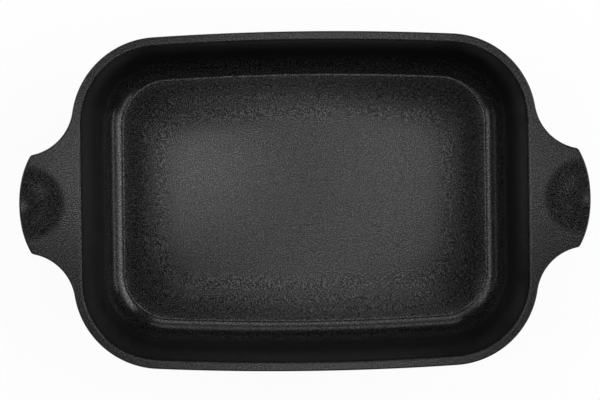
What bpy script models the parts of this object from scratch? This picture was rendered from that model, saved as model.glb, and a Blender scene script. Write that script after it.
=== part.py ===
"""Cast aluminium roasting pan with two cast ear handles and steel induction discs in its base.

The pan is one hollow casting: a bowed rectangle with large round corners, a drafted wall, a floor
that is crowned in the middle and meets the fillet round it in a crease, a flat rim that widens
into an ear at each end, and a thumb scoop in each ear. Cast aluminium is not magnetic, so two
perforated steel discs lie in round recesses under the base, and studs of the casting stand in
their holes.

Frame: metres, +Z up, X runs through both ears, and the origin lies under the middle of the pan
on the surface that it stands on. An inset is a distance inwards from the pan's outer outline.
"""

import math
from dataclasses import dataclass

import bmesh
import bpy
from mathutils import Vector

MM = 0.001

# The hollow, measured between the inner edges of the rim and down to the middle of its floor
CAVITY_LENGTH = 350 * MM
CAVITY_WIDTH = 252 * MM
CAVITY_DEPTH = 80 * MM
WALL_DRAFT = math.radians(5)
FLOOR_FILLET = 26 * MM
FILLET_END_SLOPE = math.radians(24)
CREASE_FILLET = 4 * MM
CROWN_RUN = 50 * MM
CROWN_EDGE_SLOPE = math.radians(6.5)

# The pan's outer outline
CORNER_RADIUS = 68.4 * MM
LEAST_CORNER_RADIUS = 3 * MM
SIDE_BOW = 3 * MM

# The metal round the hollow
FLOOR_THICKNESS = 7 * MM
WALL_THICKNESS = 5 * MM
BASE_FILLET = 24 * MM
RIM_HEIGHT = 10 * MM
RIM_OVERHANG = 3 * MM
RIM_INNER_EDGE = 1.5 * MM
RIM_OUTER_EDGE = 1.2 * MM
RIM_LOWER_EDGE = 1.2 * MM
RIM_NECK_FILLET = 1.4 * MM

# The ears, which carry on the rim at both ends
EAR_REACH = 42.4 * MM
EAR_WIDTH = 76.5 * MM
EAR_END_RADIUS = 79.5 * MM
EAR_CORNER_RADIUS = 4 * MM
EAR_FLARE_RADIUS = 40 * MM
EAR_LOWER_EDGE = 3 * MM
SCOOP_RADIUS = 33 * MM
SCOOP_FLOOR = 6.7 * MM
SCOOP_END_MARGIN = 5.1 * MM
GRIP_HOLLOW_DEPTH = 1.6 * MM
GRIP_HOLLOW_RADIUS = 15 * MM

# The induction discs under the base
DISC_THICKNESS = 1.0 * MM
DISC_GAP = 10 * MM
DISC_MARGIN = 6 * MM
DISC_SINK = 0.3 * MM
DISC_CLEARANCE = 0.3 * MM
HOLE_RADIUS = 3 * MM
HOLE_PITCH = 18 * MM
HOLE_BORDER = 6 * MM
HOLES_PER_RING_STEP = 6
CUT_OVERRUN = 2 * MM

# How finely the round stretches are divided, per quarter of the pan
EAR_END_STEPS = 6
EAR_CORNER_STEPS = 4
EAR_FLARE_STEPS = 7
CORNER_STEPS = 9
BOW_STEPS = 4
CROWN_STEPS = 5
CREASE_STEPS = 2
FLOOR_FILLET_STEPS = 6
BASE_FILLET_STEPS = 5
EDGE_STEPS = 2
RIM_ROWS = 9
UNDERSIDE_ROWS = 4
DISC_STEPS = 48
HOLE_STEPS = 8
SMOOTH_ANGLE = math.radians(24)

LOWER_EDGE = min(RIM_LOWER_EDGE, RIM_OVERHANG / 2)
NECK_FILLET = min(RIM_NECK_FILLET, RIM_OVERHANG / 2)
WALL_RUN = WALL_THICKNESS / math.cos(WALL_DRAFT)
RIM_RUN = (RIM_HEIGHT + NECK_FILLET - RIM_INNER_EDGE) * math.tan(WALL_DRAFT)
RIM_WIDTH = RIM_OVERHANG + WALL_RUN - RIM_RUN

HALF_LENGTH = CAVITY_LENGTH / 2 + RIM_WIDTH
HALF_WIDTH = CAVITY_WIDTH / 2 + RIM_WIDTH
HEIGHT = CAVITY_DEPTH + FLOOR_THICKNESS
UNDER_RIM = HEIGHT - RIM_HEIGHT
EAR_END = HALF_LENGTH + EAR_REACH
SCOOP_CENTRE = EAR_END - SCOOP_END_MARGIN
SCOOP_DEPTH = RIM_HEIGHT - SCOOP_FLOOR
GRIP_CENTRE = HALF_LENGTH + EAR_REACH / 2


def bow_radius():
    """Radius of the long sides, which stand SIDE_BOW proud between the corners."""
    half_chord = HALF_LENGTH - CORNER_RADIUS
    return (half_chord**2 + SIDE_BOW**2) / (2 * SIDE_BOW)


@dataclass
class Corner:
    """The round corner of the first quarter at one inset, and the bowed side that it meets."""

    centre: Vector
    radius: float
    bow_centre: Vector
    bow_radius: float
    last_angle: float


def corner_at(inset):
    """The corner arc touches the straight short side and the bowed long side."""
    radius = max(CORNER_RADIUS - inset, LEAST_CORNER_RADIUS)
    bow = bow_radius() - inset
    bow_centre = Vector((0, HALF_WIDTH - bow_radius()))
    centre_x = HALF_LENGTH - inset - radius
    centre_y = bow_centre.y + math.sqrt((bow - radius) ** 2 - centre_x**2)
    last_angle = math.atan2(centre_y - bow_centre.y, centre_x)
    return Corner(Vector((centre_x, centre_y)), radius, bow_centre, bow, last_angle)


@dataclass
class Station:
    """One place along the first quarter of the outline, and the rim's outer edge there.

    stretch is "short", "corner" or "bow", and share is how far along that stretch it lies.
    """

    stretch: str
    share: float
    rim: Vector
    outward: Vector

    def at(self, inset):
        """The point of the pan's body at this station."""
        corner = corner_at(inset)
        if self.stretch == "short":
            return Vector((HALF_LENGTH - inset, self.share * corner.centre.y))
        if self.stretch == "corner":
            return corner.centre + corner.radius * direction(self.share * corner.last_angle)
        angle = corner.last_angle + self.share * (math.pi / 2 - corner.last_angle)
        return corner.bow_centre + corner.bow_radius * direction(angle)

    def rim_at(self, inset):
        """The point of the rim or ear, at this inset from its own outer edge."""
        return self.rim - inset * self.outward

    def lower_edge(self):
        """Radius of the lower outer edge, which is fuller the further the ear stands out."""
        reached = min((self.rim - self.at(0)).length / EAR_REACH, 1)
        return LOWER_EDGE + reached * (EAR_LOWER_EDGE - LOWER_EDGE)


def direction(angle):
    return Vector((math.cos(angle), math.sin(angle)))


def heading(way):
    return math.atan2(way.y, way.x)


def shares(steps):
    """Even shares from 0 to 1, with both ends."""
    return [step / steps for step in range(steps + 1)]


def touching_centre(centre_a, reach_a, centre_b, reach_b):
    """The point at both reaches from two centres, on the ear's outer side."""
    apart = centre_b - centre_a
    along = (reach_a**2 - reach_b**2 + apart.length_squared) / (2 * apart.length)
    aside = math.sqrt(max(reach_a**2 - along**2, 0))
    ahead = apart.normalized()
    return centre_a + along * ahead + aside * Vector((ahead.y, -ahead.x))


def flare_centre():
    """Centre of the hollow arc that leads from the ear to the corner, or to the short side."""
    corner = corner_at(0)
    centre_y = EAR_WIDTH / 2 + EAR_FLARE_RADIUS
    if centre_y <= corner.centre.y:
        return Vector((HALF_LENGTH + EAR_FLARE_RADIUS, centre_y))
    reach = CORNER_RADIUS + EAR_FLARE_RADIUS
    away = math.sqrt(reach**2 - (centre_y - corner.centre.y) ** 2)
    return Vector((corner.centre.x + away, centre_y))


def ear_outline():
    """Points and outward directions of the ear's edge, from its end's middle to its root.

    Three arcs that touch: the end, the small corner, and the hollow flare.
    """
    end = Vector((EAR_END - EAR_END_RADIUS, 0))
    flare = flare_centre()
    tip = touching_centre(
        end, EAR_END_RADIUS - EAR_CORNER_RADIUS, flare, EAR_FLARE_RADIUS + EAR_CORNER_RADIUS
    )
    body = corner_at(0).centre
    root = Vector((body.x, min(body.y, flare.y)))
    end_angle = heading(tip - end)
    tip_angle = heading(flare - tip)
    root_angle = heading(flare - root)

    outline = []
    for share in shares(EAR_END_STEPS):
        side = direction(share * end_angle)
        outline.append((end + EAR_END_RADIUS * side, side))
    for share in shares(EAR_CORNER_STEPS)[1:]:
        side = direction(end_angle + share * (tip_angle - end_angle))
        outline.append((tip + EAR_CORNER_RADIUS * side, side))
    for share in shares(EAR_FLARE_STEPS)[1:]:
        side = direction(tip_angle + share * (root_angle - tip_angle))
        outline.append((flare - EAR_FLARE_RADIUS * side, side))
    return outline


def first_quarter():
    """Stations from the middle of the +X end to the middle of the +Y side."""
    corner = corner_at(0)
    stations = []
    for point, outward in ear_outline():
        if point.y <= corner.centre.y:
            place = ("short", point.y / corner.centre.y)
        else:
            angle = math.asin((point.y - corner.centre.y) / corner.radius)
            place = ("corner", angle / corner.last_angle)
        stations.append(Station(*place, point, outward))
    first = stations[-1].share if stations[-1].stretch == "corner" else 0
    for share in shares(CORNER_STEPS)[1:]:
        share = first + share * (1 - first)
        side = direction(share * corner.last_angle)
        stations.append(Station("corner", share, corner.centre + corner.radius * side, side))
    for share in shares(BOW_STEPS)[1:]:
        angle = corner.last_angle + share * (math.pi / 2 - corner.last_angle)
        side = direction(angle)
        point = corner.bow_centre + corner.bow_radius * side
        stations.append(Station("bow", share, point, side))
    return stations


def all_round(points):
    """Mirrors the first quarter's points into a closed loop that runs anticlockwise."""
    second = [Vector((-p.x, p.y, p.z)) for p in reversed(points[:-1])]
    half = points + second
    return half + [Vector((p.x, -p.y, p.z)) for p in reversed(half[1:-1])]


def scoop_drop(distance):
    """Depth of a thumb scoop this far from its middle: a soft dish that runs out level."""
    share = min(distance / SCOOP_RADIUS, 1)
    return SCOOP_DEPTH * (1 + math.cos(math.pi * share)) / 2


def rim_top(point):
    """Height of the rim's upper face, which dips into a thumb scoop on each ear."""
    return HEIGHT - scoop_drop(math.hypot(point.x - SCOOP_CENTRE, point.y))


def rim_underside(point):
    """Height of the rim's lower face, with a shallow finger hollow across each ear."""
    aside = abs(point.x - GRIP_CENTRE)
    along = max(abs(point.y) - GRIP_HOLLOW_RADIUS, 0)
    share = min(math.hypot(aside, along) / GRIP_HOLLOW_RADIUS, 1)
    return UNDER_RIM + GRIP_HOLLOW_DEPTH * (1 + math.cos(math.pi * share)) / 2


def foot_arc(top_inset, top, foot, end_slope, radius, steps):
    """Insets and heights of the fillet at a drafted wall's foot, wall first.

    Its last point lies at the height foot, where it still slopes by end_slope.
    """
    centre_height = foot + radius * math.cos(end_slope)
    centre_inset = top_inset + (top - centre_height) * math.tan(WALL_DRAFT) + radius / math.cos(WALL_DRAFT)
    arc = []
    for share in shares(steps):
        angle = WALL_DRAFT + share * (math.pi / 2 - end_slope - WALL_DRAFT)
        inset = centre_inset - radius * math.cos(angle)
        arc.append((inset, centre_height - radius * math.sin(angle)))
    return arc


def crown_rise(share):
    """How far the crowned floor has risen over this share of its run in from its edge."""
    return CROWN_RUN * math.tan(CROWN_EDGE_SLOPE) * (share - share**2 / 2)


def inner_foot():
    """Insets and heights of the fillet in the hollow and of the crease, up to the crowned floor's edge."""
    top = HEIGHT - RIM_INNER_EDGE
    crown_edge = FLOOR_THICKNESS - crown_rise(1)
    lowest = crown_edge - CREASE_FILLET * (1 - math.cos(CROWN_EDGE_SLOPE))
    foot = lowest + CREASE_FILLET * (1 - math.cos(FILLET_END_SLOPE))
    arc = foot_arc(RIM_WIDTH, top, foot, FILLET_END_SLOPE, FLOOR_FILLET, FLOOR_FILLET_STEPS)
    first = arc[-1][0]
    for share in shares(CREASE_STEPS)[1:]:
        slope = FILLET_END_SLOPE - share * (FILLET_END_SLOPE + CROWN_EDGE_SLOPE)
        inset = first + CREASE_FILLET * (math.sin(FILLET_END_SLOPE) - math.sin(slope))
        arc.append((inset, lowest + CREASE_FILLET * (1 - math.cos(slope))))
    return arc


def outer_foot():
    return foot_arc(RIM_OVERHANG, UNDER_RIM - NECK_FILLET, 0, 0, BASE_FILLET, BASE_FILLET_STEPS)


def base_flat():
    """Half length and half width of the level face under the base."""
    inset = outer_foot()[-1][0]
    return HALF_LENGTH - inset, HALF_WIDTH - inset


def body_loop(stations, inset, height):
    return all_round([station.at(inset).to_3d() + Vector((0, 0, height)) for station in stations])


def crown_loops(stations):
    """Rows of the crowned floor, from its level middle almost to its edge.

    Each row is the edge's own loop, drawn in along both axes and lifted.
    """
    edge_inset, edge_height = inner_foot()[-1]
    loops = []
    for share in reversed(shares(CROWN_STEPS)[1:]):
        along = 1 - share * CROWN_RUN / (HALF_LENGTH - edge_inset)
        across = 1 - share * CROWN_RUN / (HALF_WIDTH - edge_inset)
        points = []
        for station in stations:
            point = station.at(edge_inset)
            points.append(Vector((along * point.x, across * point.y, edge_height + crown_rise(share))))
        loops.append(all_round(points))
    return loops


def rim_loop(stations, inset, drop):
    """A loop on the rounded upper outer edge of the rim and ears, drop below the upper face."""
    points = []
    for station in stations:
        point = station.rim_at(inset)
        points.append(Vector((point.x, point.y, rim_top(station.rim) - drop)))
    return all_round(points)


def lower_edge_loop(stations, angle):
    """A loop on the rounded lower outer edge of the rim and ears, angle down the rounding."""
    points = []
    for station in stations:
        radius = station.lower_edge()
        point = station.rim_at(radius * (1 - math.cos(angle)))
        height = UNDER_RIM + radius * (1 - math.sin(angle))
        points.append(Vector((point.x, point.y, height)))
    return all_round(points)


def upper_face_loops(stations):
    """Rows of the rim's upper face, from the hollow's edge to the outer edge."""
    loops = []
    for share in shares(RIM_ROWS):
        points = []
        for station in stations:
            inner = station.at(RIM_WIDTH - RIM_INNER_EDGE)
            point = inner.lerp(station.rim_at(RIM_OUTER_EDGE), share)
            points.append(Vector((point.x, point.y, rim_top(point))))
        loops.append(all_round(points))
    return loops


def underside_loops(stations):
    """Rows of the rim's lower face, from the outer edge to the neck of the wall."""
    loops = []
    for share in shares(UNDERSIDE_ROWS):
        points = []
        for station in stations:
            inner = station.at(RIM_OVERHANG - NECK_FILLET)
            point = station.rim_at(station.lower_edge()).lerp(inner, share)
            points.append(Vector((point.x, point.y, rim_underside(point))))
        loops.append(all_round(points))
    return loops


def casting_loops():
    """Every loop of the casting, from the floor of the hollow over the rim to the base."""
    stations = first_quarter()
    turn = math.pi / 2
    loops = crown_loops(stations)
    loops += [body_loop(stations, inset, height) for inset, height in reversed(inner_foot())]
    for share in shares(EDGE_STEPS)[:-1]:
        inset = RIM_WIDTH - RIM_INNER_EDGE * (1 - math.cos(share * turn))
        height = HEIGHT - RIM_INNER_EDGE * (1 - math.sin(share * turn))
        loops.append(body_loop(stations, inset, height))
    loops += upper_face_loops(stations)
    for share in shares(EDGE_STEPS)[1:]:
        inset = RIM_OUTER_EDGE * (1 - math.sin(share * turn))
        loops.append(rim_loop(stations, inset, RIM_OUTER_EDGE * (1 - math.cos(share * turn))))
    for share in shares(EDGE_STEPS)[:-1]:
        loops.append(lower_edge_loop(stations, share * turn))
    loops += underside_loops(stations)
    for share in shares(EDGE_STEPS)[1:]:
        inset = RIM_OVERHANG - NECK_FILLET * (1 - math.sin(share * turn))
        height = UNDER_RIM - NECK_FILLET * (1 - math.cos(share * turn))
        loops.append(body_loop(stations, inset, height))
    loops += [body_loop(stations, inset, height) for inset, height in outer_foot()]
    return loops


def new_object(name, mesh, material):
    shape = bpy.data.objects.new(name, mesh)
    bpy.context.scene.collection.objects.link(shape)
    if material:
        mesh.materials.append(material)
    mesh.shade_smooth()
    mesh.set_sharp_from_angle(angle=SMOOTH_ANGLE)
    return shape


def casting_mesh():
    """Quads between neighbouring loops, closed by the floor of the hollow and by the base."""
    bm = bmesh.new()
    rings = [[bm.verts.new(point) for point in loop] for loop in casting_loops()]
    bm.faces.new(rings[0])
    for inner, outer in zip(rings, rings[1:]):
        for place, start in enumerate(inner):
            after = (place + 1) % len(inner)
            bm.faces.new((start, outer[place], outer[after], inner[after]))
    bm.faces.new(reversed(rings[-1]))
    bmesh.ops.recalc_face_normals(bm, faces=bm.faces)
    mesh = bpy.data.meshes.new("casting")
    bm.to_mesh(mesh)
    bm.free()
    return mesh


def hole_centres(disc_radius):
    """One hole in the middle of a disc and rings of holes round it, as far as the disc allows."""
    centres = [Vector((0, 0))]
    rings = int((disc_radius - HOLE_RADIUS - HOLE_BORDER) / HOLE_PITCH)
    for ring in range(1, rings + 1):
        count = HOLES_PER_RING_STEP * ring
        for place in range(count):
            centres.append(ring * HOLE_PITCH * direction(2 * math.pi * place / count))
    return centres


def add_cylinder(bm, centre, radius, bottom, top, steps):
    made = bmesh.ops.create_cone(
        bm, cap_ends=True, segments=steps, radius1=radius, radius2=radius, depth=top - bottom
    )
    middle = Vector((centre.x, centre.y, (bottom + top) / 2))
    bmesh.ops.translate(bm, verts=made["verts"], vec=middle)


def cylinders_mesh(name, centres, radius, bottom, top, steps):
    bm = bmesh.new()
    for centre in centres:
        add_cylinder(bm, centre, radius, bottom, top, steps)
    mesh = bpy.data.meshes.new(name)
    bm.to_mesh(mesh)
    bm.free()
    return mesh


def cut_with(shape, cutter):
    """Takes cutter's shape out of shape, and leaves cutter in the file as a guide."""
    cutter.hide_render = True
    cutter.display_type = "WIRE"
    cut = shape.modifiers.new(f"cut by {cutter.name}", "BOOLEAN")
    cut.operation = "DIFFERENCE"
    cut.solver = "EXACT"
    cut.object = cutter


def perforated_disc(name, place, disc_radius, edge_grow, hole_radius, bottom, top, material):
    """A round plate with its pattern of holes. Its edge is edge_grow outside disc_radius."""
    plate = cylinders_mesh(name, [Vector((0, 0))], disc_radius + edge_grow, bottom, top, DISC_STEPS)
    disc = new_object(name, plate, material)
    over = CUT_OVERRUN
    centres = hole_centres(disc_radius)
    punch_mesh = cylinders_mesh(f"{name}_punch", centres, hole_radius, bottom - over, top + over, HOLE_STEPS)
    punch = new_object(f"{name}_punch", punch_mesh, None)
    for shape in (disc, punch):
        shape.location = place
    cut_with(disc, punch)
    return disc


def new_material(name, colour, roughness, metallic):
    material = bpy.data.materials.new(name)
    material.use_nodes = True
    shader = material.node_tree.nodes["Principled BSDF"]
    shader.inputs["Base Color"].default_value = (*colour, 1)
    shader.inputs["Roughness"].default_value = roughness
    shader.inputs["Metallic"].default_value = metallic
    return material


def build():
    for old in list(bpy.data.objects):
        bpy.data.objects.remove(old)

    coating = new_material("speckled_coating", (0.035, 0.035, 0.036), 0.45, 0.0)
    steel = new_material("ferritic_steel", (0.62, 0.61, 0.6), 0.35, 1.0)
    casting = new_object("pan_casting", casting_mesh(), coating)

    half_length, half_width = base_flat()
    disc_radius = min((half_length - DISC_MARGIN - DISC_GAP / 2) / 2, half_width - DISC_MARGIN)
    offset = disc_radius + DISC_GAP / 2
    top = DISC_SINK + DISC_THICKNESS
    for side, x in (("left", -offset), ("right", offset)):
        place = Vector((x, 0, 0))
        perforated_disc(
            f"{side}_induction_disc", place, disc_radius, 0, HOLE_RADIUS, DISC_SINK, top, steel
        )
        recess = perforated_disc(
            f"{side}_disc_recess",
            place,
            disc_radius,
            DISC_CLEARANCE,
            HOLE_RADIUS - DISC_CLEARANCE,
            -CUT_OVERRUN,
            top + DISC_CLEARANCE,
            None,
        )
        cut_with(casting, recess)


build()
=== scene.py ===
"""Looks of an open cast roasting pan with ear handles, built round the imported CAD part.

The pan is one casting under a dark speckled coating. Its fine shape stands for the CAD casting:
one quarter is swept from a rounded section, its rim is drawn out into an ear, the thumb scoop is
pressed in, and the quarter is mirrored. The crowned floor is drawn in from the section's inner
end. Two perforated steel discs lie in the base.

Frame: metres, +Z up, X runs through both ears, and the origin lies under the middle of the pan
on the surface that it stands on. An inset is a distance inwards from the pan's outer outline.
"""

import logging
import math
from dataclasses import dataclass, field
from enum import Enum

import bmesh
import bpy
from mathutils import Matrix, Vector


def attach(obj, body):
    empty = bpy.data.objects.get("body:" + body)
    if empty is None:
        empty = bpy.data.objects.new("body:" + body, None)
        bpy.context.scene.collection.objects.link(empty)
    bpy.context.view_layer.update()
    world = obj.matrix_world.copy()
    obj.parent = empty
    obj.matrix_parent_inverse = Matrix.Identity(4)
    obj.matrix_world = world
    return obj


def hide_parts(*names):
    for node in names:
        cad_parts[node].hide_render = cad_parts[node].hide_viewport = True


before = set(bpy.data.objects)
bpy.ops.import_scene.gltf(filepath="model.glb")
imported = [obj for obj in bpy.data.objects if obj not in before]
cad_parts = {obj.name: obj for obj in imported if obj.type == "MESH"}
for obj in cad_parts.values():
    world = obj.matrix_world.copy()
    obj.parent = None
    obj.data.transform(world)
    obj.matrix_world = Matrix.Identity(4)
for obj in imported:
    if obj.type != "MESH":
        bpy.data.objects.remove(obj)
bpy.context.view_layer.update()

MM = 0.001
HALF_TURN = math.pi
QUARTER_TURN = math.pi / 2
UP = Vector((0, 0, 1))
ACROSS = Vector((0, 1, 0))
MERGE_DISTANCE = 0.0005 * MM
SNAP = 0.0002 * MM
SHARP_ANGLE = math.radians(24)
CRISP_ANGLE = math.radians(70)
LEAST_STOP_GAP = 0.3 * MM
WHITE = (1, 1, 1, 1)

Colour = tuple[float, float, float]

log = logging.getLogger("roasting_pan")


class Side(Enum):
    """The end of the pan that a disc lies at."""

    LEFT = "left"
    RIGHT = "right"


def direction(angle: float) -> Vector:
    """The level unit vector at this angle from +X."""
    return Vector((math.cos(angle), math.sin(angle)))


def heading(way: Vector) -> float:
    """The angle from +X of a level vector."""
    return math.atan2(way.y, way.x)


def shares(steps: int) -> list[float]:
    """Even shares from 0 to 1, with both ends."""
    return [step / steps for step in range(steps + 1)]


def verts_among(items: list) -> list[bmesh.types.BMVert]:
    """The vertices among what an operator made."""
    return [item for item in items if isinstance(item, bmesh.types.BMVert)]


def edges_among(items: list) -> list[bmesh.types.BMEdge]:
    """The edges among what an operator made."""
    return [item for item in items if isinstance(item, bmesh.types.BMEdge)]


@dataclass(frozen=True)
class PanSizes:
    """The casting's sizes in metres and radians, the same ones that the CAD part has."""

    cavity_length: float = 350 * MM
    cavity_width: float = 252 * MM
    cavity_depth: float = 80 * MM
    wall_draft: float = math.radians(5)
    floor_fillet: float = 26 * MM
    fillet_end_slope: float = math.radians(24)
    crease_fillet: float = 4 * MM
    crown_run: float = 50 * MM
    crown_edge_slope: float = math.radians(6.5)
    corner_radius: float = 68.4 * MM
    side_bow: float = 3 * MM
    floor_thickness: float = 7 * MM
    wall_thickness: float = 5 * MM
    base_fillet: float = 24 * MM
    rim_height: float = 10 * MM
    rim_overhang: float = 3 * MM
    rim_inner_edge: float = 1.5 * MM
    rim_outer_edge: float = 1.2 * MM
    rim_lower_edge: float = 1.2 * MM
    rim_neck_fillet: float = 1.4 * MM
    ear_reach: float = 42.4 * MM
    ear_width: float = 76.5 * MM
    ear_end_radius: float = 79.5 * MM
    ear_corner_radius: float = 4 * MM
    ear_flare_radius: float = 40 * MM
    ear_lower_edge: float = 3 * MM
    scoop_radius: float = 33 * MM
    scoop_depth: float = 3.3 * MM
    scoop_end_margin: float = 5.1 * MM
    grip_hollow_depth: float = 1.6 * MM
    grip_hollow_radius: float = 15 * MM

    @property
    def rim_width(self) -> float:
        """Width of the rim's upper face, from the hollow to the outer outline."""
        wall_run = self.wall_thickness / math.cos(self.wall_draft)
        covered = self.rim_height + self.rim_neck_fillet - self.rim_inner_edge
        return self.rim_overhang + wall_run - covered * math.tan(self.wall_draft)

    @property
    def half_length(self) -> float:
        """From the middle to the outer outline of a short side."""
        return self.cavity_length / 2 + self.rim_width

    @property
    def half_width(self) -> float:
        """From the middle to the outer outline of a long side."""
        return self.cavity_width / 2 + self.rim_width

    @property
    def height(self) -> float:
        """From the base to the rim's upper face."""
        return self.cavity_depth + self.floor_thickness

    @property
    def under_rim(self) -> float:
        """Height of the rim's lower face."""
        return self.height - self.rim_height

    @property
    def ear_end(self) -> float:
        """From the middle to the end of an ear."""
        return self.half_length + self.ear_reach

    def outer_wall_inset(self, height: float) -> float:
        """Inset of the wall's outer face, carried on to any height.

        Args:
            height: height over the base.

        Returns:
            The inset in metres.
        """
        top = self.under_rim - self.rim_neck_fillet
        return self.rim_overhang + (top - height) * math.tan(self.wall_draft)

    def inner_wall_inset(self, height: float) -> float:
        """Inset of the hollow's wall, carried on to any height.

        Args:
            height: height over the base.

        Returns:
            The inset in metres.
        """
        top = self.height - self.rim_inner_edge
        return self.rim_width + (top - height) * math.tan(self.wall_draft)

    def crown_rise(self, share: float) -> float:
        """How far the crowned floor has risen over this share of its run in from its edge."""
        return self.crown_run * math.tan(self.crown_edge_slope) * (share - share**2 / 2)

    def base_flat(self) -> tuple[float, float]:
        """Half length and half width of the level face under the base."""
        inset = self.outer_wall_inset(self.base_fillet) + self.base_fillet / math.cos(self.wall_draft)
        return self.half_length - inset, self.half_width - inset

    def bow_radius(self) -> float:
        """Radius of the bowed long sides."""
        half_chord = self.half_length - self.corner_radius
        return (half_chord**2 + self.side_bow**2) / (2 * self.side_bow)

    def scoop_drop(self, distance: float) -> float:
        """Depth of a thumb scoop, which is a soft dish that runs out level.

        Args:
            distance: distance in plan from the scoop's middle.

        Returns:
            How far the surface lies below the rim's upper face.
        """
        share = min(distance / self.scoop_radius, 1)
        return self.scoop_depth * (1 + math.cos(HALF_TURN * share)) / 2

    def upper_drop(self, x: float, y: float) -> float:
        """How far the thumb scoop lowers the rim's upper face at a place of the first quarter."""
        centre = self.ear_end - self.scoop_end_margin
        return self.scoop_drop(math.hypot(x - centre, y))

    def lower_rise(self, x: float, y: float) -> float:
        """How far the finger hollow lifts the rim's lower face at a place of the first quarter."""
        aside = abs(x - self.half_length - self.ear_reach / 2)
        along = max(abs(y) - self.grip_hollow_radius, 0)
        share = min(math.hypot(aside, along) / self.grip_hollow_radius, 1)
        return self.grip_hollow_depth * (1 + math.cos(HALF_TURN * share)) / 2


@dataclass(frozen=True)
class Station:
    """One place along the outline: the plain outline there, and the edge that the ear has."""

    body: Vector
    inward: Vector
    edge: Vector
    outward: Vector

    def body_at(self, inset: float) -> Vector:
        """The point at this inset from the plain outline."""
        return self.body + inset * self.inward

    def edge_at(self, inset: float) -> Vector:
        """The point at this inset from the ear's own edge."""
        return self.edge - inset * self.outward


class Outline:
    """The pan's outline in plan, over the first quarter, with the arcs that touch along it."""

    def __init__(self, sizes: PanSizes) -> None:
        """Works out the arcs' centres and the angles at which they meet.

        Args:
            sizes: the pan's sizes.
        """
        self.sizes = sizes
        radius = sizes.corner_radius
        bow = sizes.bow_radius()
        self.bow_centre = Vector((0, sizes.half_width - bow))
        corner_x = sizes.half_length - radius
        rise = math.sqrt((bow - radius) ** 2 - corner_x**2)
        self.corner = Vector((corner_x, self.bow_centre.y + rise))
        self.corner_turn = math.atan2(rise, corner_x)

        flare_y = sizes.ear_width / 2 + sizes.ear_flare_radius
        reach = radius + sizes.ear_flare_radius
        flare_x = corner_x + math.sqrt(reach**2 - (flare_y - self.corner.y) ** 2)
        self.flare = Vector((flare_x, flare_y))
        self.end = Vector((sizes.ear_end - sizes.ear_end_radius, 0))
        self.tip = self._tip_centre()
        self.end_angle = heading(self.tip - self.end)
        self.tip_angle = heading(self.flare - self.tip)
        self.root_angle = heading(self.flare - self.corner)

    def _tip_centre(self) -> Vector:
        """Centre of the ear's small corner, which touches the end and the flare."""
        near = self.sizes.ear_end_radius - self.sizes.ear_corner_radius
        far = self.sizes.ear_flare_radius + self.sizes.ear_corner_radius
        apart = self.flare - self.end
        along = (near**2 - far**2 + apart.length_squared) / (2 * apart.length)
        aside = math.sqrt(near**2 - along**2)
        ahead = apart.normalized()
        return self.end + along * ahead + aside * Vector((ahead.y, -ahead.x))

    def ear_edge(self, y: float) -> tuple[Vector, Vector]:
        """The ear's edge at this distance from the X axis.

        Args:
            y: distance from the X axis, from 0 to the ear's root.

        Returns:
            The point on the edge, and the outward unit vector there.
        """
        sizes = self.sizes
        if y <= sizes.ear_end_radius * math.sin(self.end_angle):
            side = direction(math.asin(y / sizes.ear_end_radius))
            return self.end + sizes.ear_end_radius * side, side
        above_tip = (y - self.tip.y) / sizes.ear_corner_radius
        if above_tip <= math.sin(self.tip_angle):
            side = direction(math.asin(above_tip))
            return self.tip + sizes.ear_corner_radius * side, side
        side = direction(math.asin((self.flare.y - y) / sizes.ear_flare_radius))
        return self.flare - sizes.ear_flare_radius * side, side

    def station(self, x: float, y: float) -> Station | None:
        """The station that a point of the first quarter lies at.

        Args:
            x: the point's place along X.
            y: the point's place along Y.

        Returns:
            The station, or None where the outline has no ear.
        """
        sizes = self.sizes
        if y <= self.corner.y:
            body = Vector((sizes.half_length, y))
            return Station(body, Vector((-1, 0)), *self.ear_edge(y))
        side = Vector((x - self.corner.x, y - self.corner.y)).normalized()
        if heading(side) >= self.root_angle:
            return None
        body = self.corner + sizes.corner_radius * side
        return Station(body, -side, *self.ear_edge(body.y))

    def short_side_stops(self, end_steps: int, tip_steps: int, flare_steps: int) -> list[float]:
        """Distances from the X axis at which the straight short side is divided.

        They lie as close as the ear's arcs need, from the corner down to 0.

        Args:
            end_steps: steps along the ear's end arc.
            tip_steps: steps round the ear's small corner.
            flare_steps: steps along the hollow flare.

        Returns:
            The distances, largest first, without the corner's own.
        """
        sizes = self.sizes
        stops = []
        for share in shares(end_steps):
            stops.append(sizes.ear_end_radius * math.sin(share * self.end_angle))
        for share in shares(tip_steps)[1:]:
            angle = self.end_angle + share * (self.tip_angle - self.end_angle)
            stops.append(self.tip.y + sizes.ear_corner_radius * math.sin(angle))
        for share in shares(flare_steps)[1:]:
            angle = self.tip_angle + share * (self.root_angle - self.tip_angle)
            stops.append(self.flare.y - sizes.ear_flare_radius * math.sin(angle))
        return [stop for stop in reversed(stops) if stop < self.corner.y - LEAST_STOP_GAP]


@dataclass(frozen=True)
class Rounding:
    """One corner of the casting's section, how it is rounded, and the straight run before it.

    A turn is positive where the section bends clockwise, seen along +Y.
    """

    inset: float
    height: float
    turn: float
    radius: float
    turn_steps: int
    run_steps: int

    @property
    def setback(self) -> float:
        """How far from the corner the round begins."""
        return self.radius * math.tan(abs(self.turn) / 2)


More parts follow.
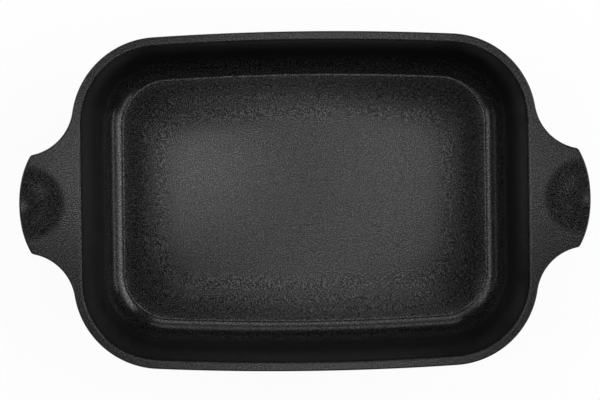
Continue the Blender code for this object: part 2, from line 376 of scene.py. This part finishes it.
@dataclass
class PressedDiscs:
    """The perforated steel discs under the base, and the recesses that they lie in."""

    sizes: PanSizes
    gap: float = 10 * MM
    margin: float = 6 * MM
    bottom: float = 0.3 * MM
    thickness: float = 1.0 * MM
    clearance: float = 0.3 * MM
    hole_radius: float = 3 * MM
    hole_pitch: float = 18 * MM
    hole_rings: int = 3
    holes_per_ring_step: int = 6
    edge_chamfer: float = 0.12 * MM
    rim_steps: int = 144
    hole_steps: int = 28

    @property
    def radius(self) -> float:
        """Radius of a disc, which is as large as the level base takes."""
        half_length, half_width = self.sizes.base_flat()
        return min((half_length - self.margin - self.gap / 2) / 2, half_width - self.margin)

    @property
    def offset(self) -> float:
        """From the pan's middle to a disc's middle."""
        return self.radius + self.gap / 2

    def hole_places(self) -> list[Vector]:
        """The holes' centres, from the disc's own middle."""
        places = [Vector((0, 0, 0))]
        for ring in range(1, self.hole_rings + 1):
            count = self.holes_per_ring_step * ring
            for place in range(count):
                around = direction(2 * HALF_TURN * place / count)
                places.append((ring * self.hole_pitch * around).to_3d())
        return places

    def circles(
        self, bm: bmesh.types.BMesh, centre: Vector, grow: float
    ) -> list[list[bmesh.types.BMEdge]]:
        """Draws the disc's rim and the rims of its holes as edge loops at one height.

        Args:
            bm: the mesh that the loops are added to.
            centre: the disc's middle at that height.
            grow: how far the rim lies outside the disc, and the holes' rims inside the holes.

        Returns:
            The loops as lists of edges, the disc's rim first.
        """
        loops = []
        rounds = [(Vector((0, 0, 0)), self.radius + grow, self.rim_steps)]
        rounds += [(place, self.hole_radius - grow, self.hole_steps) for place in self.hole_places()]
        for place, radius, steps in rounds:
            made = bmesh.ops.create_circle(
                bm,
                cap_ends=False,
                segments=steps,
                radius=radius,
                matrix=Matrix.Translation(centre + place),
            )
            linked = (edge for vert in made["verts"] for edge in vert.link_edges)
            loops.append(list(dict.fromkeys(linked)))
        return loops

    def build(self, side: Side, finish: "SteelFinish") -> bpy.types.Object:
        """Makes one disc as a perforated plate with chamfered edges.

        Args:
            side: which disc is made.
            finish: the discs' finish.

        Returns:
            The finished piece.
        """
        x = self.offset if side is Side.RIGHT else -self.offset
        bm = bmesh.new()
        loops = self.circles(bm, Vector((x, 0, self.bottom)), 0.0)
        edges = [edge for loop in loops for edge in loop]
        made = bmesh.ops.triangle_fill(bm, use_beauty=True, edges=edges, normal=UP)
        plate = [item for item in made["geom"] if isinstance(item, bmesh.types.BMFace)]
        raised = bmesh.ops.extrude_face_region(bm, geom=plate)
        verts = verts_among(raised["geom"])
        bmesh.ops.translate(bm, verts=verts, vec=self.thickness * UP)
        bmesh.ops.recalc_face_normals(bm, faces=bm.faces)
        chamfer_crisp_edges(bm, self.edge_chamfer)
        piece = finished_piece(f"{side.value}_steel_disc", bm, finish.material(side, x))
        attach(piece, "root")
        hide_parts(f"{side.value}_induction_disc")
        return piece


def chamfer_crisp_edges(bm: bmesh.types.BMesh, width: float) -> None:
    """Chamfers every edge where two faces meet at about a right angle.

    Args:
        bm: the mesh.
        width: the chamfer's width on each face.
    """
    crisp = [edge for edge in bm.edges if edge.is_manifold and edge.calc_face_angle(0) > CRISP_ANGLE]
    bmesh.ops.bevel(
        bm,
        geom=crisp,
        offset=width,
        offset_type="OFFSET",
        affect="EDGES",
        segments=1,
        profile=0.5,
        material=-1,
        clamp_overlap=True,
    )


def finished_piece(
    name: str, bm: bmesh.types.BMesh, material: bpy.types.Material
) -> bpy.types.Object:
    """Turns a finished mesh into a smooth-shaded object at the origin.

    Args:
        name: the piece's name.
        bm: its mesh, which is freed.
        material: its finish.

    Returns:
        The new object.
    """
    mesh = bpy.data.meshes.new(name)
    bm.to_mesh(mesh)
    bm.free()
    mesh.materials.append(material)
    mesh.shade_smooth()
    mesh.set_sharp_from_angle(angle=SHARP_ANGLE)
    piece = bpy.data.objects.new(name, mesh)
    bpy.context.scene.collection.objects.link(piece)
    return piece


@dataclass
class Casting:
    """The pan itself: hollow, rim, ears, thumb scoops and base in one closed shell."""

    sizes: PanSizes
    discs: PressedDiscs
    end_steps: int = 44
    tip_steps: int = 8
    flare_steps: int = 30
    corner_steps: int = 44
    bow_steps: int = 18
    rim_steps: int = 47
    underside_steps: int = 19
    wall_steps: int = 8
    outer_face_steps: int = 4
    crown_steps: int = 10
    crease_steps: int = 5
    fillet_steps: int = 16
    foot_steps: int = 12
    edge_steps: int = 5
    base_margin: float = 2 * MM
    outline: Outline = field(init=False)

    def __post_init__(self) -> None:
        """Works out the outline."""
        self.outline = Outline(self.sizes)

    def roundings(self) -> list[Rounding]:
        """The section's corners, from the floor of the hollow over the rim to the base."""
        s = self.sizes
        leaning = QUARTER_TURN - s.wall_draft
        hollow = s.inner_wall_inset(s.height)
        neck = s.outer_wall_inset(s.under_rim)
        foot = s.outer_wall_inset(0)
        edge = self.edge_steps
        return self.crease_roundings() + [
            Rounding(hollow, s.height, leaning, s.rim_inner_edge, edge, self.wall_steps),
            Rounding(0, s.height, QUARTER_TURN, s.rim_outer_edge, edge, self.rim_steps),
            Rounding(0, s.under_rim, QUARTER_TURN, s.rim_lower_edge, edge, self.outer_face_steps),
            Rounding(neck, s.under_rim, -leaning, s.rim_neck_fillet, edge, self.underside_steps),
            Rounding(foot, 0, leaning, s.base_fillet, self.foot_steps, self.wall_steps),
        ]

    def crown_edge(self) -> tuple[float, float]:
        """Inset and height of the crowned floor's edge, where the soft crease begins."""
        s = self.sizes
        fillet, crease = s.floor_fillet, s.crease_fillet
        height = s.floor_thickness - s.crown_rise(1)
        foot = height + crease * (math.cos(s.crown_edge_slope) - math.cos(s.fillet_end_slope))
        centre = foot + fillet * math.cos(s.fillet_end_slope)
        inset = s.inner_wall_inset(centre) + fillet / math.cos(s.wall_draft)
        inset += (crease - fillet) * math.sin(s.fillet_end_slope) + crease * math.sin(s.crown_edge_slope)
        return inset, height

    def crease_roundings(self) -> list[Rounding]:
        """The soft crease and the fillet that it leads into, from the crowned floor's edge on."""
        s = self.sizes
        steep = QUARTER_TURN - s.wall_draft
        inset, height = self.crown_edge()
        slope = -s.crown_edge_slope
        roundings = []
        bends = (
            (s.fillet_end_slope, s.crease_fillet, self.crease_steps),
            (steep, s.floor_fillet, self.fillet_steps),
        )
        for end_slope, radius, steps in bends:
            tangent = radius * math.tan((end_slope - slope) / 2)
            inset -= tangent * math.cos(slope)
            height += tangent * math.sin(slope)
            roundings.append(Rounding(inset, height, slope - end_slope, radius, steps, 0))
            inset -= tangent * math.cos(end_slope)
            height += tangent * math.sin(end_slope)
            slope = end_slope
        return roundings

    def draw_section(self, bm: bmesh.types.BMesh) -> list[bmesh.types.BMEdge]:
        """Draws the casting's section where the corner begins, as one open line of edges.

        Args:
            bm: the empty mesh that it is drawn in.

        Returns:
            The line's edges.
        """
        corners = self.roundings()
        vert = bm.verts.new(self.section_point(*self.crown_edge()))
        for corner in corners:
            point = self.section_point(corner.inset, corner.height)
            ahead = (point - vert.co).normalized()
            vert = self._run(bm, vert, point - corner.setback * ahead, corner.run_steps)
            aside = ACROSS.cross(ahead) * math.copysign(corner.radius, corner.turn)
            made = bmesh.ops.spin(
                bm,
                geom=[vert],
                cent=vert.co + aside,
                axis=ACROSS,
                angle=corner.turn,
                steps=corner.turn_steps,
                use_merge=False,
            )
            vert = verts_among(made["geom_last"])[0]
        base = corners[-1].inset + corners[-1].setback + self.base_margin
        self._run(bm, vert, self.section_point(base, 0), 1)
        return list(bm.edges)

    def section_point(self, inset: float, height: float) -> Vector:
        """A point of the section, which stands where the corner begins."""
        return Vector((self.sizes.half_length - inset, self.outline.corner.y, height))

    @staticmethod
    def _run(
        bm: bmesh.types.BMesh, vert: bmesh.types.BMVert, end: Vector, steps: int
    ) -> bmesh.types.BMVert:
        """Carries a line of edges straight on from its last vertex.

        Args:
            bm: the mesh.
            vert: the line's last vertex.
            end: where the run ends.
            steps: how many edges it has.

        Returns:
            The new last vertex.
        """
        start = vert.co.copy()
        for share in shares(steps)[1:] if steps else []:
            vert = bmesh.ops.extrude_vert_indiv(bm, verts=[vert])["verts"][0]
            vert.co = start.lerp(end, share)
        return vert

    def sweep(self, bm: bmesh.types.BMesh, section: list[bmesh.types.BMEdge]) -> None:
        """Sweeps the section round the corner, along the bowed side and down the short side.

        Args:
            bm: the mesh.
            section: the section's edges, where the corner begins.
        """
        outline = self.outline
        turned = self._spin(bm, section, outline.corner, outline.corner_turn, self.corner_steps)
        rest = QUARTER_TURN - outline.corner_turn
        self._spin(bm, turned, outline.bow_centre, rest, self.bow_steps)

        stops = outline.short_side_stops(self.end_steps, self.tip_steps, self.flare_steps)
        edges = section
        at = outline.corner.y
        for stop in stops:
            made = bmesh.ops.extrude_edge_only(bm, edges=edges)["geom"]
            verts = verts_among(made)
            bmesh.ops.translate(bm, verts=verts, vec=Vector((0, stop - at, 0)))
            edges = edges_among(made)
            at = stop

    @staticmethod
    def _spin(
        bm: bmesh.types.BMesh,
        edges: list[bmesh.types.BMEdge],
        centre: Vector,
        angle: float,
        steps: int,
    ) -> list[bmesh.types.BMEdge]:
        """Sweeps edges about an upright axis.

        Args:
            bm: the mesh.
            edges: what is swept.
            centre: the axis's place in plan.
            angle: how far it turns, anticlockwise from above.
            steps: the number of steps.

        Returns:
            The edges at the far end.
        """
        verts = list(dict.fromkeys(vert for edge in edges for vert in edge.verts))
        made = bmesh.ops.spin(
            bm,
            geom=verts + list(edges),
            cent=centre.to_3d(),
            axis=UP,
            angle=angle,
            steps=steps,
            use_merge=False,
        )
        return edges_among(made["geom_last"])

    def draw_out_ear(self, bm: bmesh.types.BMesh) -> None:
        """Draws the rim of the short side out into the ear, and presses in its hollows."""
        for vert in bm.verts:
            vert.co = self.ear_point(vert.co)

    def ear_point(self, point: Vector) -> Vector:
        """Where a vertex of the plain rim belongs on the ear.

        The rim's inner edge and the wall stay, the outer edge moves to the ear's edge with its
        roundings, and the two faces between stretch evenly.

        Args:
            point: the vertex on the plain rim.

        Returns:
            Its place on the ear.
        """
        s = self.sizes
        setback = math.tan((QUARTER_TURN - s.wall_draft) / 2)
        neck = s.outer_wall_inset(s.under_rim) - s.rim_neck_fillet * setback
        inner = s.inner_wall_inset(s.height) - s.rim_inner_edge * setback
        station = self.outline.station(point.x, point.y)
        if station is None or point.z < s.under_rim - SNAP:
            return point
        inset = (station.body - point.to_2d()).length
        if inset > inner + SNAP:
            return point
        reached = min((station.edge - station.body).length / s.ear_reach, 1)
        lower = s.rim_lower_edge + reached * (s.ear_lower_edge - s.rim_lower_edge)
        grown = lower / s.rim_lower_edge

        if point.z > s.height - s.rim_outer_edge - SNAP:
            share = max(inner - inset, 0) / (inner - s.rim_outer_edge)
            if share < 1:
                place = station.body_at(inner).lerp(station.edge_at(s.rim_outer_edge), share)
            else:
                place = station.edge_at(inset)
            return place.to_3d() + UP * (point.z - s.upper_drop(place.x, place.y))
        if point.z < s.under_rim + s.rim_lower_edge + SNAP:
            share = (inset - s.rim_lower_edge) / (neck - s.rim_lower_edge)
            if share > 1 + SNAP:
                return point
            if share > 0:
                place = station.edge_at(lower).lerp(station.body_at(neck), share)
                return place.to_3d() + UP * (s.under_rim + s.lower_rise(place.x, place.y))
            place = station.edge_at(inset * grown)
            return place.to_3d() + UP * (s.under_rim + grown * (point.z - s.under_rim))
        place = station.edge_at(0)
        top = s.height - s.rim_outer_edge
        bottom = s.under_rim + s.rim_lower_edge
        share = (point.z - bottom) / (top - bottom)
        low = s.under_rim + lower
        high = top - s.upper_drop(place.x, place.y)
        return place.to_3d() + UP * (low + share * (high - low))

    def close_floor(self, bm: bmesh.types.BMesh) -> None:
        """Draws the crown's edge in over the crowned floor, and closes its level middle."""
        s = self.sizes
        inset, height = self.crown_edge()
        edges = [edge for edge in bm.edges if edge.is_boundary and edge.verts[0].co.z > height - SNAP]
        along = across = 1.0
        for share in shares(self.crown_steps)[1:]:
            made = bmesh.ops.extrude_edge_only(bm, edges=edges)["geom"]
            verts = verts_among(made)
            edges = edges_among(made)
            drawn_in = share * s.crown_run
            new_along = 1 - drawn_in / (s.half_length - inset)
            new_across = 1 - drawn_in / (s.half_width - inset)
            bmesh.ops.scale(bm, verts=verts, vec=Vector((new_along / along, new_across / across, 1)))
            rise = height + s.crown_rise(share) - verts[0].co.z
            bmesh.ops.translate(bm, verts=verts, vec=rise * UP)
            along, across = new_along, new_across
        bmesh.ops.holes_fill(bm, edges=edges, sides=0)

    def recess_shells(self) -> bpy.types.Mesh:
        """Makes the two recesses with the studs that stand in them, open at the base."""
        discs = self.discs
        depth = (discs.bottom + discs.thickness + discs.clearance) * UP
        bm = bmesh.new()
        for x in (-discs.offset, discs.offset):
            loops = discs.circles(bm, Vector((x, 0, 0)), discs.clearance)
            edges = [edge for loop in loops for edge in loop]
            made = bmesh.ops.extrude_edge_only(bm, edges=edges)["geom"]
            verts = verts_among(made)
            bmesh.ops.translate(bm, verts=verts, vec=depth)
            ceiling = edges_among(made)
            bmesh.ops.triangle_fill(bm, use_beauty=True, edges=ceiling, normal=-UP)
            studs = [edge for loop in loops[1:] for edge in loop]
            bmesh.ops.holes_fill(bm, edges=studs, sides=discs.hole_steps)
        mesh = bpy.data.meshes.new("recess_shells")
        bm.to_mesh(mesh)
        bm.free()
        return mesh

    def close_base(self, bm: bmesh.types.BMesh) -> None:
        """Adds the recesses, and closes the base round them."""
        shells = self.recess_shells()
        bm.from_mesh(shells)
        bpy.data.meshes.remove(shells)
        rims = [edge for edge in bm.edges if edge.is_boundary]
        bmesh.ops.triangle_fill(bm, use_beauty=True, edges=rims, normal=-UP)

    def build(self, finish: "CoatingFinish") -> bpy.types.Object:
        """Makes the whole casting.

        Args:
            finish: its coating.

        Returns:
            The finished piece.
        """
        bm = bmesh.new()
        self.sweep(bm, self.draw_section(bm))
        bmesh.ops.remove_doubles(bm, verts=bm.verts, dist=MERGE_DISTANCE)
        self.draw_out_ear(bm)
        for axis in ("X", "Y"):
            everything = list(bm.verts) + list(bm.edges) + list(bm.faces)
            bmesh.ops.mirror(bm, geom=everything, matrix=Matrix(), merge_dist=MERGE_DISTANCE, axis=axis)
        self.close_floor(bm)
        self.close_base(bm)
        bmesh.ops.recalc_face_normals(bm, faces=bm.faces)
        piece = finished_piece("cast_pan_body", bm, finish.material())
        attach(piece, "root")
        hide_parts("pan_casting")
        return piece


class Recipe:
    """A material's node tree, with short ways to add nodes and join them."""

    def __init__(self, name: str) -> None:
        """Starts a material with its shader and its Object coordinates.

        Args:
            name: the material's name.
        """
        self.material = bpy.data.materials.new(name)
        self.material.use_nodes = True
        self.tree = self.material.node_tree
        self.shader = self.tree.nodes["Principled BSDF"]
        self.place = self.tree.nodes.new("ShaderNodeTexCoord").outputs["Object"]

    def set(self, **levels: float | tuple) -> None:
        """Sets constants on the shader's own sockets, spaces written as underscores."""
        for name, level in levels.items():
            self.shader.inputs[name.replace("_", " ")].default_value = level

    def join(self, source: bpy.types.NodeSocket, target: bpy.types.NodeSocket) -> None:
        """Joins one node's output to another's input."""
        self.tree.links.new(source, target)

    def moved(self, location: Vector, scale: Vector) -> bpy.types.NodeSocket:
        """Object coordinates that are centred and stretched for a pattern.

        Args:
            location: where the pattern's own middle lies on the piece.
            scale: how often the pattern repeats along each axis.

        Returns:
            The moved coordinates.
        """
        node = self.tree.nodes.new("ShaderNodeMapping")
        node.vector_type = "POINT"
        node.inputs["Scale"].default_value = scale
        node.inputs["Location"].default_value = [-at * by for at, by in zip(location, scale)]
        self.join(self.place, node.inputs["Vector"])
        return node.outputs["Vector"]

    def noise(
        self, scale: float, detail: float, place: bpy.types.NodeSocket | None = None
    ) -> bpy.types.NodeSocket:
        """A cloudy pattern.

        Args:
            scale: how many features lie along a metre.
            detail: how many finer layers are added.
            place: its coordinates, or None for the Object coordinates.

        Returns:
            The pattern's level, around a half.
        """
        node = self.tree.nodes.new("ShaderNodeTexNoise")
        node.inputs["Scale"].default_value = scale
        node.inputs["Detail"].default_value = detail
        self.join(place or self.place, node.inputs["Vector"])
        return node.outputs["Fac"]

    def ranged(
        self, source: bpy.types.NodeSocket, low: float, high: float, to_low: float, to_high: float
    ) -> bpy.types.NodeSocket:
        """Maps a level from one range to another and holds it there.

        Args:
            source: the level.
            low: the level that becomes to_low.
            high: the level that becomes to_high.
            to_low: the lowest result.
            to_high: the highest result.

        Returns:
            The mapped level.
        """
        node = self.tree.nodes.new("ShaderNodeMapRange")
        levels = {"From Min": low, "From Max": high, "To Min": to_low, "To Max": to_high}
        for name, level in levels.items():
            node.inputs[name].default_value = level
        self.join(source, node.inputs["Value"])
        return node.outputs["Result"]

    def blend(
        self, share: bpy.types.NodeSocket, first: Colour, second: Colour
    ) -> bpy.types.NodeSocket:
        """A colour between two colours.

        Args:
            share: 0 for the first colour and 1 for the second.
            first: red, green and blue.
            second: red, green and blue.

        Returns:
            The colour.
        """
        node = self.tree.nodes.new("ShaderNodeMix")
        node.data_type = "RGBA"
        node.inputs["A"].default_value = (*first, 1)
        node.inputs["B"].default_value = (*second, 1)
        self.join(share, node.inputs["Factor"])
        return node.outputs["Result"]

    def relief(self, height: bpy.types.NodeSocket, distance: float) -> bpy.types.NodeSocket:
        """A bumpy surface.

        Args:
            height: the pattern's level.
            distance: how high a level of 1 stands, in metres.

        Returns:
            The bumped normal.
        """
        node = self.tree.nodes.new("ShaderNodeBump")
        node.inputs["Strength"].default_value = 1
        node.inputs["Distance"].default_value = distance
        self.join(height, node.inputs["Height"])
        return node.outputs["Normal"]


@dataclass(frozen=True)
class CoatingFinish:
    """Dark stone-like coating: a satin ground with fine flakes that give back more light."""

    ground: Colour = (0.002, 0.002, 0.002)
    flake: Colour = (0.072, 0.072, 0.072)
    flakes_per_metre: float = 1300
    flake_detail: float = 1.0
    flake_start: float = 0.45
    flake_full: float = 0.75
    flake_height: float = 0.0008 * MM
    metal_share: float = 0.5
    gloss_index: float = 1.38
    roughness: float = 0.21

    def material(self) -> bpy.types.Material:
        """Makes the coating's material."""
        recipe = Recipe("speckled_coating")
        recipe.set(Roughness=self.roughness, IOR=self.gloss_index, Metallic=self.metal_share)
        flakes = recipe.noise(self.flakes_per_metre, self.flake_detail)
        share = recipe.ranged(flakes, self.flake_start, self.flake_full, 0, 1)
        recipe.join(recipe.blend(share, self.ground, self.flake), recipe.shader.inputs["Base Color"])
        recipe.join(recipe.relief(flakes, self.flake_height), recipe.shader.inputs["Normal"])
        return recipe.material


@dataclass(frozen=True)
class SteelFinish:
    """Bare ferritic steel, ground with fine straight scratches."""

    colour: Colour = (0.56, 0.55, 0.54)
    dull: Colour = (0.44, 0.43, 0.42)
    least_roughness: float = 0.29
    most_roughness: float = 0.42
    scratches_per_metre: float = 2600
    scratch_stretch: float = 0.02
    scratch_height: float = 0.008 * MM
    clouds_per_metre: float = 40
    detail: float = 2.0
    pattern_low: float = 0.3
    pattern_high: float = 0.7

    def material(self, side: Side, x: float) -> bpy.types.Material:
        """Makes one disc's material.

        Args:
            side: which disc it is for.
            x: the disc's middle along X.

        Returns:
            The material.
        """
        recipe = Recipe(f"{side.value}_ground_steel")
        recipe.set(Metallic=1.0)
        low, high = self.pattern_low, self.pattern_high
        stretched = recipe.moved(Vector((x, 0, 0)), Vector((self.scratch_stretch, 1, 1)))
        lines = recipe.noise(self.scratches_per_metre, self.detail, stretched)
        cloud = recipe.noise(self.clouds_per_metre, self.detail)
        bright = recipe.ranged(lines, low, high, 0, 1)
        recipe.join(recipe.blend(bright, self.dull, self.colour), recipe.shader.inputs["Base Color"])
        rough = recipe.ranged(cloud, low, high, self.least_roughness, self.most_roughness)
        recipe.join(rough, recipe.shader.inputs["Roughness"])
        recipe.join(recipe.relief(lines, self.scratch_height), recipe.shader.inputs["Normal"])
        return recipe.material


@dataclass(frozen=True)
class SoftLamp:
    """A rectangular soft lamp that hangs round the pan and shines at it."""

    name: str
    tilt: float
    bearing: float
    width: float
    height: float
    brightness: float

    @property
    def power(self) -> float:
        """The lamp's power in watts, from how bright its face is against plain white."""
        return math.pi * self.brightness * self.width * self.height

    def place(self, distance: float) -> Vector:
        """Where the lamp hangs, from the pan's middle, with tilt measured from straight up."""
        tilt, bearing = math.radians(self.tilt), math.radians(self.bearing)
        level = distance * math.sin(tilt) * direction(bearing)
        return Vector((level.x, level.y, distance * math.cos(tilt)))


LAMPS = (
    SoftLamp("over_far_left", 12.4, 180, 0.42, 0.42, 4.5),
    SoftLamp("over_left", 6, 180, 0.42, 0.42, 8.2),
    SoftLamp("over_middle", 0, 0, 0.42, 0.42, 1.5),
    SoftLamp("over_right", 6, 0, 0.42, 0.42, 3.5),
    SoftLamp("over_far_right", 12.4, 0, 0.42, 0.42, 3.4),
    SoftLamp("over_front", 11.9, 270, 1.26, 0.42, 2.3),
    SoftLamp("over_far_front", 17.7, 279.5, 0.84, 0.42, 1.9),
    SoftLamp("over_front_right", 6.7, 296.6, 0.84, 0.42, 2.8),
    SoftLamp("over_back_right", 6.7, 63.4, 0.84, 0.42, 3.6),
    SoftLamp("over_back", 12.2, 104, 0.84, 0.42, 1.2),
    SoftLamp("high_back_left", 35, 144, 1.49, 0.7, 1.9),
    SoftLamp("high_front_left", 35, 216, 1.49, 0.7, 2.1),
    SoftLamp("high_front_right", 35, 324, 1.49, 0.7, 1.6),
    SoftLamp("key_right", 45, 15, 3.04, 0.7, 6.7),
    SoftLamp("key_back", 45, 90, 1.52, 0.7, 3.8),
    SoftLamp("key_back_left", 45, 135, 3.04, 0.7, 2.2),
    SoftLamp("key_left", 45, 180, 1.52, 0.7, 4.7),
    SoftLamp("key_front_right", 45, 330, 1.52, 0.7, 3),
    SoftLamp("mid_right", 55, 0, 1.76, 0.7, 2.4),
    SoftLamp("mid_back_right", 55, 30, 1.76, 0.7, 3.4),
    SoftLamp("mid_back_left", 55, 150, 1.76, 0.7, 2.5),
    SoftLamp("low_back", 65, 90, 1.94, 0.7, 2.3),
    SoftLamp("low_right", 75, 0, 2.07, 0.7, 4),
    SoftLamp("low_left", 75, 180, 2.07, 0.7, 1.3),
)


@dataclass
class Studio:
    """Pale floor, soft lamps and the camera over the pan."""

    sizes: PanSizes
    world_level: float = 0.1
    camera_rise: float = 0.990
    camera_aside: float = 0.036
    view_width: float = 469.4 * MM
    sensor: float = 36.0
    roll: float = math.radians(0.75)
    pixels_right: float = 4.95
    pixels_down: float = 1.2
    frame_pixels: int = 600
    floor_radius: float = 4.2
    floor_sweep: float = 0.9
    floor_segments: int = 96
    sweep_steps: int = 12
    floor_gap: float = 0.2 * MM
    floor_paleness: float = 0.95
    floor_roughness: float = 0.9
    glow: float = 0.93
    lamp_distance: float = 4.0
    lamps: tuple[SoftLamp, ...] = LAMPS

    def build_floor(self) -> None:
        """Lays the floor that the pan stands on, which sweeps up into a low backdrop far off."""
        bm = bmesh.new()
        bmesh.ops.create_circle(
            bm, cap_ends=True, segments=self.floor_segments, radius=self.floor_radius
        )
        bmesh.ops.translate(bm, verts=bm.verts, vec=-self.floor_gap * UP)
        edges = [edge for edge in bm.edges if edge.is_boundary]
        radius, height = self.floor_radius, 0.0
        for share in shares(self.sweep_steps)[1:]:
            made = bmesh.ops.extrude_edge_only(bm, edges=edges)["geom"]
            verts = verts_among(made)
            edges = edges_among(made)
            out = self.floor_radius + self.floor_sweep * math.sin(share * QUARTER_TURN)
            rise = self.floor_sweep * (1 - math.cos(share * QUARTER_TURN))
            bmesh.ops.scale(bm, verts=verts, vec=Vector((out / radius, out / radius, 1)))
            bmesh.ops.translate(bm, verts=verts, vec=(rise - height) * UP)
            radius, height = out, rise
        floor = finished_piece("studio_floor", bm, self._floor_material())

    def _floor_material(self) -> bpy.types.Material:
        """White to the camera and in reflections, with a part of the pan's shadow kept."""
        recipe = Recipe("studio_floor")
        pale = self.floor_paleness
        recipe.set(Base_Color=(pale, pale, pale, 1), Roughness=self.floor_roughness)
        recipe.shader.inputs["Specular IOR Level"].default_value = 0.0
        nodes = recipe.tree.nodes
        glow = nodes.new("ShaderNodeEmission")
        glow.inputs["Color"].default_value = WHITE
        seen = self._seen_directly(recipe.tree)
        kept = nodes.new("ShaderNodeMath")
        kept.operation = "MULTIPLY"
        kept.inputs[1].default_value = self.glow
        recipe.join(seen, kept.inputs[0])
        mix = nodes.new("ShaderNodeMixShader")
        recipe.join(kept.outputs[0], mix.inputs[0])
        recipe.join(recipe.shader.outputs[0], mix.inputs[1])
        recipe.join(glow.outputs[0], mix.inputs[2])
        recipe.join(mix.outputs[0], nodes["Material Output"].inputs["Surface"])
        return recipe.material

    @staticmethod
    def _seen_directly(tree: bpy.types.NodeTree) -> bpy.types.NodeSocket:
        """1 for the camera's, glossy and transmitted rays, else 0."""
        path = tree.nodes.new("ShaderNodeLightPath")
        level = path.outputs["Is Camera Ray"]
        for name in ("Is Glossy Ray", "Is Transmission Ray"):
            most = tree.nodes.new("ShaderNodeMath")
            most.operation = "MAXIMUM"
            tree.links.new(level, most.inputs[0])
            tree.links.new(path.outputs[name], most.inputs[1])
            level = most.outputs[0]
        return level

    def build_world(self) -> None:
        """Weak plain light from all round."""
        world = bpy.data.worlds.new("studio_world")
        world.use_nodes = True
        light = world.node_tree.nodes["Background"]
        light.inputs["Color"].default_value = WHITE
        light.inputs["Strength"].default_value = self.world_level
        bpy.context.scene.world = world

    def build_lamps(self) -> None:
        """Hangs the lamps."""
        for lamp in self.lamps:
            data = bpy.data.lights.new(lamp.name, "AREA")
            data.shape = "RECTANGLE"
            data.size = lamp.width
            data.size_y = lamp.height
            data.energy = lamp.power
            item = bpy.data.objects.new(lamp.name, data)
            item.location = lamp.place(self.lamp_distance)
            item.rotation_euler = (-item.location).to_track_quat("-Z", "Y").to_euler()
            item.visible_camera = False
            bpy.context.scene.collection.objects.link(item)

    def build_camera(self) -> None:
        """Sets the camera over the pan, looking straight down.

        It hangs a little aside and its lens is shifted back, and the pan's middle lies a few
        pixels right of and below the picture's middle.
        """
        data = bpy.data.cameras.new("camera")
        data.sensor_width = self.sensor
        data.lens = self.sensor * self.camera_rise / self.view_width
        camera = bpy.data.objects.new("camera", data)
        data.shift_y = -self.camera_aside / self.view_width
        turn = -self.roll
        pixel = self.view_width / self.frame_pixels
        offset = Vector((-self.pixels_right * pixel, self.pixels_down * pixel + self.camera_aside))
        aside = Matrix.Rotation(turn, 2) @ offset
        camera.location = (aside.x, aside.y, self.sizes.height + self.camera_rise)
        camera.rotation_euler = (0, 0, turn)
        bpy.context.scene.collection.objects.link(camera)
        bpy.context.scene.camera = camera

    def build(self) -> None:
        """Makes everything round the pan."""
        self.build_floor()
        self.build_world()
        self.build_lamps()
        self.build_camera()
        bpy.context.scene.view_settings.view_transform = "Standard"


def report(piece: bpy.types.Object) -> None:
    """Says what a piece is made of."""
    log.info("%s: %d faces", piece.name, len(piece.data.polygons))


def main() -> None:
    """Builds the pan's pieces and the studio."""
    logging.basicConfig(level=logging.INFO, format="%(name)s: %(message)s")
    sizes = PanSizes()
    discs = PressedDiscs(sizes)
    report(Casting(sizes, discs).build(CoatingFinish()))
    for side in Side:
        report(discs.build(side, SteelFinish()))
    Studio(sizes).build()


if __name__ == "__main__":
    main()
